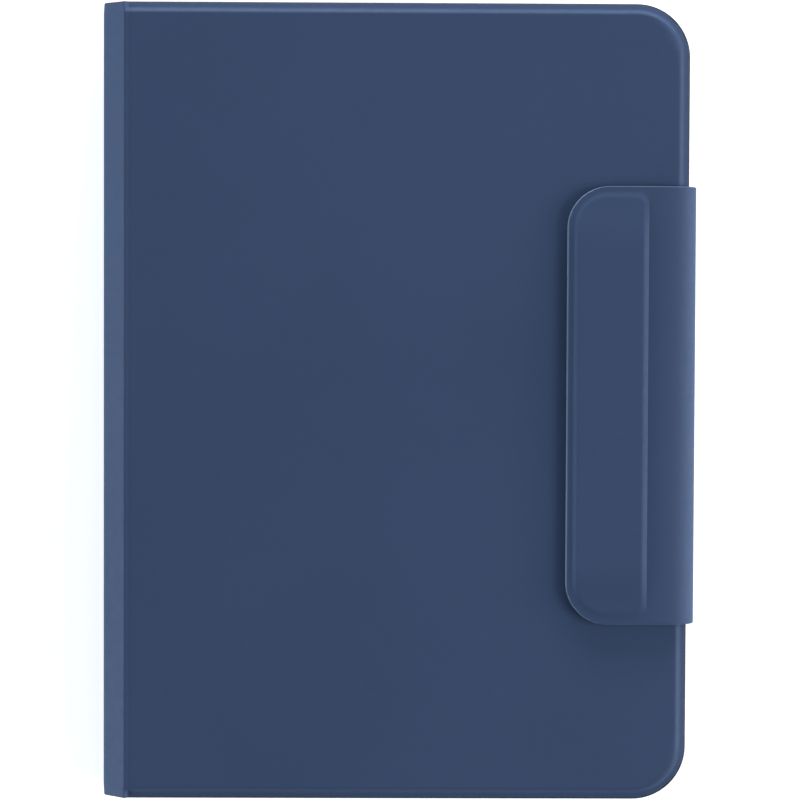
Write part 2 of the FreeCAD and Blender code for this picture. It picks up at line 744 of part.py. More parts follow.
def key_places():
    """Each cap as its node's name, middle x and y, and its size across the rows and along them."""
    pitch = size("key_pitch")
    space = size("key_space")
    front = size("stand_crease") + size("board_wide") / 2 - size("key_margin")
    left_end = UNITS_IN_ROW * pitch / 2
    places = []
    for row, keys in enumerate(KEY_ROWS):
        x = front - pitch * (row + 0.5)
        start = 0.0
        for name, units in keys:
            y = left_end - pitch * (start + units / 2)
            places.append((name, x, y, pitch - space, units * pitch - space))
            start += units
    half = (pitch - space * 1.5) / 2
    low_x = front - space / 2 - half / 2
    high_x = front - pitch + space / 2 + half / 2
    arrows = (
        (0, "left_arrow_key", low_x),
        (1, "down_arrow_key", low_x),
        (1, "up_arrow_key", high_x),
        (2, "right_arrow_key", low_x),
    )
    for index, name, x in arrows:
        y = left_end - pitch * (UNITS_IN_ROW - 2.5 + index)
        places.append((name, x, y, half, pitch - space))
    function_x = front - ROWS * pitch - size("function_pitch") / 2
    for index in range(FUNCTION_KEYS):
        y = left_end - pitch * (index + 0.5)
        places.append(("function_keys", function_x, y, size("function_pitch") - space, pitch - space))
    return places


def rounded_block(x, y, level, across, along, height, radius):
    box = Part.makeBox(across, along, height, V(x - across / 2, y - along / 2, level))
    return box.makeFillet(radius, [e for e in box.Edges if upright(e)])


def key_cap(x, y, across, along):
    """A cap whose finger face looks down while the case is closed."""
    level = size("deck_level") - size("key_proud")
    solid = rounded_block(x, y, level, across, along, size("key_tall"), size("key_round"))
    face = [e for e in solid.Edges if e.BoundBox.ZMax < level + 1e-6]
    return solid.makeChamfer(size("key_chamfer"), face)


def keys():
    caps = {}
    for name, x, y, across, along in key_places():
        caps.setdefault(name, []).append(key_cap(x, y, across, along))
    for name, solids in caps.items():
        keep(feature(name, Part.makeCompound(solids) if len(solids) > 1 else solids[0]))


def rubber_domes():
    """One dome under each cap, and three under the space bar, standing on the membrane."""
    tall = size("dome_tall")
    top = membrane_level() - tall
    domes = []
    for name, x, y, across, _ in key_places():
        scale = min(1.0, across / size("key_pitch") * 1.1)
        narrow = size("dome_top") * scale
        broad = size("dome_wide") * scale
        for shift in (-30.0, 0.0, 30.0) if name == "space_key" else (0.0,):
            domes.append(Part.makeCone(narrow, broad, tall, V(x, y + shift, top)))
    keep(feature("rubber_domes", Part.makeCompound(domes)))


# ---- keyboard

KEYS_LEFT = "stand_crease + board_wide / 2 - key_margin - key_pitch * 5 - function_pitch"
KEYBOARD_LEFT = "stand_crease - board_wide / 2"
KEYBOARD_NEAR = "-board_long / 2"
BASE_LEVEL = "case_thick - skin_thick - board_thick - lining_thick - base_thick"
INNER_LEVEL = "deck_level + deck_thick"


def base_level():
    layers = ("skin_thick", "board_thick", "lining_thick", "base_thick")
    return size("case_thick") - sum(size(layer) for layer in layers)


def membrane_level():
    return base_level() - size("support_thick") - size("membrane_thick")


def screw_spots():
    """The eight screws, four along each long side."""
    reach = size("screw_x")
    for x in (-reach, -reach / 3, reach / 3, reach):
        for side in (-1, 1):
            yield size("stand_crease") + x, side * size("screw_y")


def deck_openings():
    """Everything that is cut through the deck: key openings, switch slot, button and light holes."""
    play = size("key_play")
    level = size("deck_level") - 1
    tall = size("deck_thick") + 2
    tools = [
        rounded_block(x, y, level, across + 2 * play, along + 2 * play, tall, size("key_round"))
        for _, x, y, across, along in key_places()
    ]
    control = size("control_x")
    wide = size("slot_wide")
    long = size("knob_long") + size("switch_travel") + size("switch_play") * 2
    tools.append(Part.makeBox(wide, long, tall, V(control - wide / 2, size("switch_y") - long / 2, level)))
    pairing_hole = size("pairing_r") + size("pairing_play")
    tools.append(Part.makeCylinder(pairing_hole, tall, V(control, size("pairing_y"), level)))
    tools += [
        Part.makeCylinder(size("light_r"), tall, V(control, y, level)) for y in light_places()
    ]
    return tools


def light_places():
    return [size("light_y") - size("light_step") * n for n in range(3)]


def top_case():
    tall = BASE_LEVEL + " - deck_level"
    body = plate(
        "top_case_shell", KEYBOARD_LEFT, KEYBOARD_NEAR, "deck_level", "board_wide", "board_long", tall,
        "keyboard_round",
    )
    hollow = plate(
        "top_case_hollow", KEYBOARD_LEFT + " + case_wall", KEYBOARD_NEAR + " + case_wall", INNER_LEVEL,
        "board_wide - case_wall * 2", "board_long - case_wall * 2", tall, "keyboard_round - case_wall",
    )
    shell = cut("top_case_open", body, hollow)
    room = base_level() - size("deck_level") - size("deck_thick")
    start = size("deck_level") + size("deck_thick")
    bosses = [Part.makeCylinder(size("boss_r"), room, V(x, y, start)) for x, y in screw_spots()]
    whole = fused("top_case_blank", [shell, feature("screw_bosses", Part.makeCompound(bosses))])
    pilots = [Part.makeCylinder(size("screw_r"), room, V(x, y, start + 0.4)) for x, y in screw_spots()]
    port_wide = size("port_wide") + size("port_play") * 2
    corner = V(size("port_x") - port_wide / 2, size("board_long") / 2 - 3, start)
    port = Part.makeBox(port_wide, 5.0, room, corner)
    tools = feature("deck_openings", Part.makeCompound(deck_openings() + pilots + [port]))
    keep(cut("keyboard_top_case", whole, tools))


def bottom_case():
    body = plate(
        "bottom_case_plate", KEYBOARD_LEFT, KEYBOARD_NEAR, BASE_LEVEL, "board_wide", "board_long",
        "base_thick", "keyboard_round",
    )
    head_level = base_level() + size("base_thick") - size("screw_head_tall")
    holes = []
    for x, y in screw_spots():
        shank = Part.makeCylinder(size("screw_r"), size("base_thick"), V(x, y, base_level()))
        head = Part.makeCylinder(size("screw_head_r"), size("screw_head_tall"), V(x, y, head_level))
        holes.append(shank.fuse(head))
    keep(cut("keyboard_bottom_case", body, feature("screw_holes", Part.makeCompound(holes))))


def screws():
    head_level = base_level() + size("base_thick") - size("screw_head_tall")
    solids = []
    for x, y in screw_spots():
        head = Part.makeCylinder(size("screw_head_r"), size("screw_head_tall"), V(x, y, head_level))
        slot = Part.makeBox(2.0, 0.4, 0.3, V(x - 1.0, y - 0.2, head_level + size("screw_head_tall") - 0.3))
        shank_long = size("screw_long") - size("screw_head_tall")
        shank = Part.makeCylinder(size("screw_r"), shank_long, V(x, y, head_level - shank_long))
        solids.append(head.cut(slot).fuse(shank))
    keep(feature("case_screws", Part.makeCompound(solids)))


# The near end of each magnet behind the grip strip.
BAR_NEAR_ENDS = (-98, -48, 22, 72)


def inside_keyboard():
    keys_wide = "key_pitch * 5 + function_pitch"
    keys_long = f"key_pitch * {UNITS_IN_ROW}"
    keys_near = f"-key_pitch * {UNITS_IN_ROW} / 2"
    level = BASE_LEVEL + " - support_thick"
    keep(block("support_plate", KEYS_LEFT, keys_near, level, keys_wide, keys_long, "support_thick"))
    level += " - membrane_thick"
    keep(block("key_membrane", KEYS_LEFT, keys_near, level, keys_wide, keys_long, "membrane_thick"))
    rubber_domes()
    keep(
        plate(
            "battery_cell", "battery_left", "battery_near", BASE_LEVEL + " - battery_thick",
            "battery_wide", "battery_long", "battery_thick", "1.2",
        )
    )
    keep(
        plate(
            "circuit_board", "battery_left", "circuit_near", BASE_LEVEL + " - circuit_thick",
            "circuit_wide", "circuit_long", "circuit_thick", "1.5",
        )
    )
    left = "ridge_x - bar_wide / 2"
    magnets = [
        block(f"bar_magnet_{n}", left, f"{near}", INNER_LEVEL, "bar_wide", "bar_long", "bar_thick")
        for n, near in enumerate(BAR_NEAR_ENDS)
    ]
    keep(gathered("stand_magnets", magnets))
    charging_port()


def charging_port():
    """A flat socket in the keyboard's left side, with its tongue."""
    left = "port_x - port_wide / 2"
    near = "board_long / 2 - port_deep"
    level = INNER_LEVEL + " + 0.05"
    shell = block("port_shell", left, near, level, "port_wide", "port_deep", "port_tall")
    mouth = block(
        "port_mouth", left + " + port_wall", near + " + port_wall", level + " + port_wall",
        "port_wide - port_wall * 2", "port_deep", "port_tall - port_wall * 2",
    )
    tongue = block(
        "port_tongue", "port_x - tongue_wide / 2", near, level + " + (port_tall - tongue_thick) / 2",
        "tongue_wide", "port_deep - 1.5", "tongue_thick",
    )
    keep(fused("charging_port", [cut("port_can", shell, mouth), tongue]))


# The bumper pads, from the middle of the keyboard across.
BUMPER_X = (-80, 0, 82.3)


def grip_strip():
    """A soft strip along the deck, with its long lower edges rounded."""
    strip = block(
        "strip_blank", "ridge_x - ridge_wide / 2", "-ridge_long / 2", "deck_level - ridge_tall",
        "ridge_wide", "ridge_long", "ridge_tall",
    )
    doc.recompute()
    soft = doc.addObject("Part::Fillet", "grip_strip")
    soft.Base = strip
    low = strip.Shape.BoundBox.ZMin
    radius = size("strip_round")
    soft.Edges = [
        (n, radius, radius)
        for n, edge in enumerate(strip.Shape.Edges, start=1)
        if edge.BoundBox.ZMax < low + 1e-6 and edge.BoundBox.YLength > 1
    ]
    keep(soft)


def deck_fittings():
    places = [(x, sign) for x in BUMPER_X for sign in ("-", "")]
    pads = [
        rod(
            f"pad_{n}", f"stand_crease + {x}", f"{sign}bumper_y", "deck_level - bumper_tall",
            "bumper_r", "bumper_tall",
        )
        for n, (x, sign) in enumerate(places)
    ]
    keep(gathered("bumper_pads", pads))
    keep(
        block(
            "power_switch", "control_x - knob_wide / 2", "switch_y - knob_shift",
            "deck_level - knob_proud", "knob_wide", "knob_long", "knob_tall",
        )
    )
    button_level = "deck_level - pairing_proud"
    keep(rod("pairing_button", "control_x", "pairing_y", button_level, "pairing_r", "pairing_tall"))
    lights = [
        rod(f"light_{n}", "control_x", f"light_y - light_step * {n}", "deck_level", "light_r", "deck_thick")
        for n in range(3)
    ]
    keep(gathered("indicator_lights", lights))


def write_parts():
    doc.recompute()
    for thing in doc.Objects:
        if {"Invalid", "Error"} & set(thing.State):
            raise RuntimeError(f"{thing.Label} failed: {thing.State}")
    os.makedirs("parts", exist_ok=True)
    labels = [thing.Label for thing in nodes]
    if len(labels) != len(set(labels)):
        raise RuntimeError("two sub-parts share a label")
    for thing in nodes:
        if thing.Shape.isNull() or not thing.Shape.isValid() or not thing.Shape.Solids:
            raise RuntimeError(f"{thing.Label} has no valid solid")
        thing.Shape.exportStep(f"parts/{thing.Label}.step")
    print(len(nodes), "sub-parts")


back_cover()
front_cover()
spine()
flap()
tray()
button_pads()
camera_ring()
keys()
top_case()
bottom_case()
screws()
inside_keyboard()
grip_strip()
deck_fittings()
write_parts()
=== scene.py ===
"""The tablet keyboard case: faux leather, closing flap, keyboard, tray and a pale studio."""

import json
import math

import bmesh
import bpy
import numpy as np
from mathutils import Matrix, Vector


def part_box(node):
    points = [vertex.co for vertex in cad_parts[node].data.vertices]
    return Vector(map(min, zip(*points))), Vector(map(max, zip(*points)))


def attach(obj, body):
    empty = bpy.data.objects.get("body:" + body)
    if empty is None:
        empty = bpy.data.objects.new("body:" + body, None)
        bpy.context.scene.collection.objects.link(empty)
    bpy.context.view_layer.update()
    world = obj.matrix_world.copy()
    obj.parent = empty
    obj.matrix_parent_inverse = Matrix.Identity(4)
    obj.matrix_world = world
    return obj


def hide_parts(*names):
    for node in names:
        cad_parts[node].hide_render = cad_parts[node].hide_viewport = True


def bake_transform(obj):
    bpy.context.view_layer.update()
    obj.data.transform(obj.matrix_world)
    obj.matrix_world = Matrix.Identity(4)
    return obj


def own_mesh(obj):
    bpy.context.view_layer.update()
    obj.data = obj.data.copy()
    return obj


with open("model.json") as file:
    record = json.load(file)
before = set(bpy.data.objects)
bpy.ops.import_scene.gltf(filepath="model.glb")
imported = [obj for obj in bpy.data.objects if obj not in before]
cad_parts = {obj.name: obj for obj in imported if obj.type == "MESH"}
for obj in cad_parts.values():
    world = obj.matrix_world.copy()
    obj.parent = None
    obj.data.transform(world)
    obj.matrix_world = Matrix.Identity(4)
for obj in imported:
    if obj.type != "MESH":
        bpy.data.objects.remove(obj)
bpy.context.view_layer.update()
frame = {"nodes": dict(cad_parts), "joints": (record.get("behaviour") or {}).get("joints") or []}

MM = 0.001


# ---- where things are, read from the frame


def fold_x(joint):
    """Where along x the line lies that a joint turns about."""
    return next(j for j in frame["joints"] if j["name"] == joint)["pos_m"][0]


CASE_LOW, CASE_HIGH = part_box("front_cover_skin")
LENGTH_HALF = CASE_HIGH.y
TOP = CASE_HIGH.z
# The cover reaches a little further out than its CAD skin, and stops short of its lining.
EDGE_REACH = 0.3 * MM
LINING_CLEAR = 0.02 * MM
FREE_EDGE = CASE_HIGH.x + EDGE_REACH
COVER_THICK = TOP - CASE_LOW.z - LINING_CLEAR
# The shoulder meets the back cover just outside the fold line, and the front cover just inside it.
CREASE_OUT = 0.29 * MM
TOP_CREASE_IN = 0.9 * MM
CREASE = fold_x("front_cover_fold") - CREASE_OUT
TOP_CREASE = CREASE + TOP_CREASE_IN
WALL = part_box("spine_skin")[0].x
SHOULDER = CREASE - WALL
SPINE_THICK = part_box("spine_lining")[1].x - WALL
SHEET_THICK = 1.4 * MM
CASE_CORNER = 17.4 * MM
FLAP_CORNER = 13.8 * MM
# The flap's leather lies just over its board, bulges a little beyond the CAD strap
# and is a little shorter at one end.
STRAP_BULGE = 0.4 * MM
OVER_BOARD = 0.05 * MM
SHORT_END = Vector((0, 1.1, 0)) * MM
FLAP_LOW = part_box("flap_tab_lining")[0] + SHORT_END
FLAP_HIGH = Vector(
    (
        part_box("flap_strap_skin")[1].x + STRAP_BULGE,
        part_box("flap_tab_lining")[1].y,
        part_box("flap_stiffener")[1].z + OVER_BOARD,
    )
)
# The raised panel runs out past the board under it.
PANEL_PAST_LOW = Vector((2.0, 0.5, 0)) * MM
PANEL_PAST_HIGH = Vector((0.7, 2.0, 0)) * MM
PANEL_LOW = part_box("flap_stiffener")[0] - PANEL_PAST_LOW
PANEL_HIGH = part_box("flap_stiffener")[1] + PANEL_PAST_HIGH


# ---- leather sheets: a section in x and z, swept along y


class Section:
    """A smooth line in x and z, with its outer side on the left of its direction."""

    NEAR = 0.05 * MM

    def __init__(self, points):
        points = np.array(points, float)
        steps = np.hypot(*np.diff(points, axis=0).T)
        keep = np.concatenate(([True], steps > 1e-9))
        self.points = points[keep]
        self.reach = np.concatenate(([0.0], np.cumsum(steps[steps > 1e-9])))
        self.length = self.reach[-1]

    def at(self, s):
        """The point this far along."""
        return np.array([np.interp(s, self.reach, self.points[:, k]) for k in (0, 1)])

    def outward(self, s):
        """The direction square to the line, to its outer side."""
        ahead = self.at(min(s + self.NEAR, self.length))
        behind = self.at(max(s - self.NEAR, 0.0))
        run = (ahead - behind) / np.linalg.norm(ahead - behind)
        return np.array([-run[1], run[0]])

    def nearest(self, x, z):
        """How far along the line comes nearest to a place."""
        return float(self.reach[np.argmin(np.hypot(*(self.points - (x, z)).T))])


def rounded(corners, radii, turns=24):
    """A path through the corners, each turned with its radius."""
    path = [np.array(corners[0], float)]
    for before, corner, after, radius in zip(corners, corners[1:], corners[2:], radii):
        before, corner, after = (np.array(p, float) for p in (before, corner, after))
        into = (corner - before) / np.linalg.norm(corner - before)
        out = (after - corner) / np.linalg.norm(after - corner)
        turn = math.acos(max(-1.0, min(1.0, float(into @ out))))
        back = radius * math.tan(turn / 2)
        side = 1.0 if into[0] * out[1] - into[1] * out[0] > 0 else -1.0
        middle = corner - into * back + side * radius * np.array([-into[1], into[0]])
        start = corner - into * back - middle
        for k in range(turns + 1):
            angle = side * turn * k / turns
            c, s = math.cos(angle), math.sin(angle)
            spoke = np.array([c * start[0] - s * start[1], s * start[0] + c * start[1]])
            path.append(middle + spoke)
    path.append(np.array(corners[-1], float))
    return dense(path)


def dense(path, step=0.1 * MM):
    """The same path with points no further apart than the step."""
    out = [path[0]]
    for a, b in zip(path, path[1:]):
        count = max(1, int(math.ceil(np.linalg.norm(b - a) / step)))
        out += [a + (b - a) * k / count for k in range(1, count + 1)]
    return out


def bezier(a, b, c, d, count=60):
    """Points along a cubic curve."""
    a, b, c, d = (np.array(p, float) for p in (a, b, c, d))
    path = []
    for t in np.linspace(0, 1, count + 1):
        u = 1 - t
        path.append(a * u ** 3 + b * 3 * t * u ** 2 + c * 3 * t * t * u + d * t ** 3)
    return path


# How far in from an edge the mesh has a line, in millimetres, so that a turned rim stays smooth.
COVER_INSETS = (0, 0.04, 0.12, 0.22, 0.34, 0.46, 0.8, 1.2, 1.6, 1.8)
COVER_INSETS += (2, 2.2, 2.5, 2.8, 3.1, 3.4, 3.7, 4, 6, 10, 16)
FLAP_INSETS = (0, 0.08, 0.2, 0.35, 0.6, 1, 1.5, 1.9, 2.2, 2.5, 2.8, 3.1, 3.4, 3.7, 4)
FLAP_INSETS += (4.4, 4.8, 5.2, 5.6, 6, 6.5, 7, 7.5, 8, 8.6, 9.3, 10, 11, 12, 14)


def corner_stations(corner):
    """Places back from a free end, in even steps round its corner."""
    return [corner * (1 - math.cos(math.radians(a))) for a in range(0, 91, 3)]


class Sheet:
    """A lined leather sheet with rounded free corners, a shaped rim and its own relief.

    ring gives the width of the band at the outline that takes the edge material: painted shade on
    the case, a pale cut edge with a painted highlight on the flap.
    hem is the width of leather turned onto the inside, darkened there as painted shade.
    """

    OUTER, HEM, EDGE, INNER = range(4)
    TUCK_REACH = 0.35 * MM
    TUCK = 0.25 * MM
    FIELD_COLUMNS = 24.5

    def __init__(
        self, section, sides, corner, free_ends, insets, rim, thick, relief, ring, hem
    ):
        self.section = section
        self.low, self.high = sides
        self.corner = corner
        self.free_start, self.free_end = free_ends
        self.insets = [v * MM for v in insets]
        self.rim = rim
        self.thick = thick
        self.relief = relief
        self.ring = ring
        self.hem = hem

    def from_end(self, s):
        """Distance back from the nearest free end."""
        gaps = [1.0]
        if self.free_start:
            gaps.append(s)
        if self.free_end:
            gaps.append(self.section.length - s)
        return max(0.0, min(gaps))

    def notch(self, s):
        """How far the rounded corner brings the side in."""
        back = max(0.0, self.corner - self.from_end(s))
        return self.corner - math.sqrt(max(0.0, self.corner ** 2 - back ** 2))

    def edge_gap(self, s, y):
        """Distance in from the sheet's outline."""
        end = self.from_end(s)
        side = min(y - self.low, self.high - y)
        if end < self.corner and side < self.corner:
            return max(0.0, self.corner - math.hypot(self.corner - end, self.corner - side))
        return max(0.0, min(end, side))

    def row(self, s):
        """The places along y of one line of the mesh."""
        low = self.low + self.notch(s)
        high = self.high - self.notch(s)
        near = [low + v for v in self.insets]
        far = [high - v for v in reversed(self.insets)]
        column = (far[0] - near[-1]) / self.FIELD_COLUMNS
        return near + spread(near[-1], far[0], column)[1:-1] + far

    def build(self, name, stations, edge):
        """The sheet between its first and last station as one closed mesh."""
        rows = [self.row(s) for s in stations]
        wide = len(rows[0])
        above, below = [], []
        for s, ys in zip(stations, rows):
            place, out = self.section.at(s), self.section.outward(s)
            for y in ys:
                gap = self.edge_gap(s, y)
                top = place - out * (self.rim(s, gap) - self.relief(s, y))
                tuck = max(0.0, 1 - gap / self.TUCK_REACH) ** 2 * self.TUCK
                low = place - out * (self.thick(s) - tuck)
                above.append((top[0], y, top[1]))
                below.append((low[0], y, low[1]))
        under = len(above)
        faces, finish = [], []

        def add(quad, slot):
            faces.append(quad)
            finish.append(slot)

        for i in range(len(stations) - 1):
            s = (stations[i] + stations[i + 1]) / 2
            for j in range(wide - 1):
                a = i * wide + j
                gap = self.edge_gap(s, (rows[i][j] + rows[i][j + 1]) / 2)
                # The band at the outline takes the edge material: painted shade on the case, a
                # pale cut edge with a painted highlight on the flap.
                outer = self.EDGE if gap < self.ring(s) else self.OUTER
                # Faces of the hem take the darker leather, painted shade along the inside of the
                # edge.
                inner = self.HEM if gap < self.hem else self.INNER
                add((a, a + wide, a + wide + 1, a + 1), outer)
                add((under + a, under + a + 1, under + a + wide + 1, under + a + wide), inner)
            a = i * wide
            add((a, under + a, under + a + wide, a + wide), self.EDGE)
            a += wide - 1
            add((a, a + wide, under + a + wide, under + a), self.EDGE)
        hard = set()
        for i in (0, len(stations) - 1):
            for j in range(wide - 1):
                a = i * wide + j
                quad = (a, a + 1, under + a + 1, under + a)
                add(quad if i == 0 else quad[::-1], self.EDGE)
            if self.from_end(stations[i]) > 1e-9:
                hard |= {base + i * wide + j for base in (0, under) for j in range(wide)}
        mesh = bpy.data.meshes.new(name)
        mesh.from_pydata(above + below, [], faces)
        for material in (NAVY, HEM_SHADE, edge, LINING):
            mesh.materials.append(material)
        mesh.polygons.foreach_set("material_index", finish)
        mesh.polygons.foreach_set("use_smooth", [True] * len(faces))
        for line in mesh.edges:
            first, second = line.vertices
            line.use_edge_sharp = {first, second} <= hard and abs(first - second) < wide
        piece = bpy.data.objects.new(name, mesh)
        bpy.context.scene.collection.objects.link(piece)
        return piece


def spread(start, end, step):
    """Even places from start to end, no further apart than the step."""
    count = max(1, int(math.ceil(abs(end - start) / step)))
    return [start + (end - start) * k / count for k in range(count + 1)]


def merged(*lists, apart=0.02 * MM):
    """All the stations in order, without any that nearly coincide."""
    out = []
    for s in sorted(v for part in lists for v in part):
        if not out or s - out[-1] > apart:
            out.append(s)
    return out


# ---- materials


def srgb(red, green, blue):
    """A screen colour as the linear one that a shader takes."""

    def linear(c):
        return c / 12.92 if c <= 0.04045 else ((c + 0.055) / 1.055) ** 2.4

    return linear(red), linear(green), linear(blue), 1.0


class Finish:
    """One procedural material and the nodes it is made of."""

    def __init__(self, name, rough, metal=0.0, **settings):
        self.material = bpy.data.materials.new(name)
        self.material.use_nodes = True
        self.tree = self.material.node_tree
        self.shader = self.tree.nodes["Principled BSDF"]
        self.shader.inputs["Roughness"].default_value = rough
        self.shader.inputs["Metallic"].default_value = metal
        for socket, value in settings.items():
            self.shader.inputs[socket.replace("_", " ")].default_value = value
        self.place = self.tree.nodes.new("ShaderNodeTexCoord").outputs["Object"]

    def node(self, kind, **sockets):
        made = self.tree.nodes.new(kind)
        for socket, value in sockets.items():
            self.feed(value, made.inputs[socket.replace("_", " ")])
        return made

    def feed(self, value, socket):
        if isinstance(value, bpy.types.NodeSocket):
            self.tree.links.new(value, socket)
        else:
            socket.default_value = value

    def noise(self, per_metre, detail=3.0, roughness=0.55, place=None):
        """Soft noise with its features this many to the metre."""
        made = self.node(
            "ShaderNodeTexNoise",
            Vector=self.place if place is None else place,
            Scale=per_metre,
            Detail=detail,
            Roughness=roughness,
        )
        return made.outputs["Fac"]

    def cells(self, per_metre):
        made = self.node("ShaderNodeTexVoronoi", Vector=self.place, Scale=per_metre)
        return made.outputs["Distance"]

    def colours(self, value, dark, light):
        """Blends two colours by the middle of a value's range."""
        ramp = self.node("ShaderNodeValToRGB", Fac=value)
        for stop, place, colour in zip(ramp.color_ramp.elements, (0.35, 0.65), (dark, light)):
            stop.position = place
            stop.color = colour
        self.feed(ramp.outputs["Color"], self.shader.inputs["Base Color"])

    def roughened(self, value, low, high):
        """Varies the roughness by the middle of a value's range."""
        made = self.node("ShaderNodeMapRange", Value=value)
        limits = {"From Min": 0.3, "From Max": 0.7, "To Min": low, "To Max": high}
        for socket, number in limits.items():
            made.inputs[socket].default_value = number
        self.feed(made.outputs["Result"], self.shader.inputs["Roughness"])

    def bumps(self, *layers):
        """Each layer is a height, its strength and its depth in metres."""
        normal = None
        for height, strength, depth in layers:
            bump = self.node("ShaderNodeBump", Height=height, Strength=strength, Distance=depth)
            if normal is not None:
                self.feed(normal, bump.inputs["Normal"])
            normal = bump.outputs["Normal"]
        self.feed(normal, self.shader.inputs["Normal"])


def leather(name, dark, light, rough=(0.66, 0.75), grain=0.16):
    """Smooth faux leather: a shallow pebbled grain, fine pores and slightly uneven dye."""
    made = Finish(name, 0.5, Specular_IOR_Level=0.27)
    made.colours(made.noise(14.0, detail=5.0), dark, light)
    made.roughened(made.noise(420.0), *rough)
    made.bumps(
        (made.noise(38.0, detail=2.0), 0.06, 0.6 * MM),
        (made.cells(1250.0), grain, 0.07 * MM),
        (made.noise(5200.0, detail=2.0), 0.18, 0.02 * MM),
    )
    return made.material


def microfibre(name, dark, light):
    """Brushed lining with a short nap."""
    made = Finish(name, 0.92, Sheen_Weight=0.35, Sheen_Roughness=0.5, Specular_IOR_Level=0.2)
    made.colours(made.noise(900.0, detail=6.0, roughness=0.7), dark, light)
    made.bumps(
        (made.noise(60.0), 0.15, 0.5 * MM),
        (made.noise(4200.0, detail=4.0, roughness=0.8), 0.5, 0.05 * MM),
    )
    return made.material


def moulded(name, dark, light, rough=(0.54, 0.62), texture=0.25, per_metre=3400.0):
    """Moulded plastic or rubber with a fine spark-eroded texture and faint flow marks."""
    made = Finish(name, 0.5, Specular_IOR_Level=0.3)
    made.colours(made.noise(25.0, detail=4.0), dark, light)
    made.roughened(made.noise(300.0), *rough)
    made.bumps(
        (made.noise(55.0), 0.03, 0.3 * MM),
        (made.noise(per_metre, roughness=0.7), texture, 0.03 * MM),
    )
    return made.material


def metal(name, dark, light, rough=(0.25, 0.42)):
    """Rolled or plated metal, brushed along its length."""
    made = Finish(name, 0.3, metal=1.0)
    stretch = made.node("ShaderNodeVectorMath", Vector=made.place)
    stretch.operation = "MULTIPLY"
    stretch.inputs[1].default_value = (2600.0, 60.0, 2600.0)
    lines = made.noise(1.0, detail=4.0, roughness=0.5, place=stretch.outputs["Vector"])
    made.colours(lines, dark, light)
    made.roughened(lines, *rough)
    made.bumps((lines, 0.12, 0.02 * MM))
    return made.material


NAVY = leather("navy_leather", srgb(0.183, 0.255, 0.378), srgb(0.191, 0.264, 0.388))
# The flap's raw cut edge is paler than the leather, and is painted lighter still as the highlight
# the edge catches.
CUT_EDGE_AND_HIGHLIGHT = leather(
    "leather_cut_edge", srgb(0.31, 0.37, 0.46), srgb(0.36, 0.42, 0.51), (0.6, 0.7), 0.3
)
# Painted shade: dark leather along the case's outline and on its edge faces, standing for the
# shade at the turned edge.
EDGE_SHADE = leather(
    "painted_edge", srgb(0.055, 0.075, 0.115), srgb(0.075, 0.095, 0.14), (0.55, 0.65), 0.3
)
# Painted shade: the turned hem is darker than the leather, standing for the shade along the edge.
HEM_SHADE = leather("leather_turned_edge", srgb(0.130, 0.200, 0.315), srgb(0.142, 0.215, 0.335))
LINING = microfibre("navy_microfibre", srgb(0.16, 0.19, 0.26), srgb(0.23, 0.27, 0.35))
TRAY = moulded("tray_plastic", srgb(0.17, 0.20, 0.27), srgb(0.19, 0.225, 0.30))
RUBBER = moulded("soft_rubber", srgb(0.10, 0.11, 0.14), srgb(0.14, 0.155, 0.19), (0.6, 0.75), 0.35)
DECK = moulded(
    "keyboard_plastic",
    srgb(0.15, 0.175, 0.235),
    srgb(0.17, 0.20, 0.265),
    rough=(0.5, 0.58),
    texture=0.22,
    per_metre=4200.0,
)
CAP = moulded(
    "keycap_plastic",
    srgb(0.085, 0.10, 0.14),
    srgb(0.11, 0.13, 0.175),
    rough=(0.52, 0.6),
    texture=0.3,
    per_metre=5200.0,
)
SWITCH = moulded("switch_plastic", srgb(0.30, 0.33, 0.38), srgb(0.36, 0.39, 0.44))
LEGEND = moulded("legend_ink", srgb(0.80, 0.82, 0.85), srgb(0.87, 0.88, 0.90), (0.5, 0.6), 0.1)
LIGHT_PIPE = moulded(
    "light_pipe", srgb(0.62, 0.74, 0.68), srgb(0.75, 0.85, 0.78), (0.15, 0.25), 0.05
)
BOARD = microfibre("pressed_board", srgb(0.42, 0.38, 0.33), srgb(0.52, 0.47, 0.41))
GLUE = moulded("adhesive_film", srgb(0.70, 0.70, 0.66), srgb(0.78, 0.78, 0.74), (0.2, 0.35), 0.1)
STEEL = metal("brushed_steel", srgb(0.50, 0.51, 0.53), srgb(0.68, 0.69, 0.71))
MAGNET = metal("nickel_plate", srgb(0.60, 0.60, 0.60), srgb(0.74, 0.74, 0.73), (0.12, 0.25))
FOIL = metal("battery_foil", srgb(0.55, 0.56, 0.58), srgb(0.70, 0.71, 0.72), (0.3, 0.5))
SILICONE = moulded(
    "silicone_domes", srgb(0.72, 0.73, 0.74), srgb(0.82, 0.83, 0.84), (0.4, 0.55), 0.1
)
CIRCUIT = moulded(
    "circuit_board",
    srgb(0.05, 0.22, 0.14),
    srgb(0.08, 0.30, 0.19),
    rough=(0.3, 0.4),
    texture=0.15,
    per_metre=900.0,
)

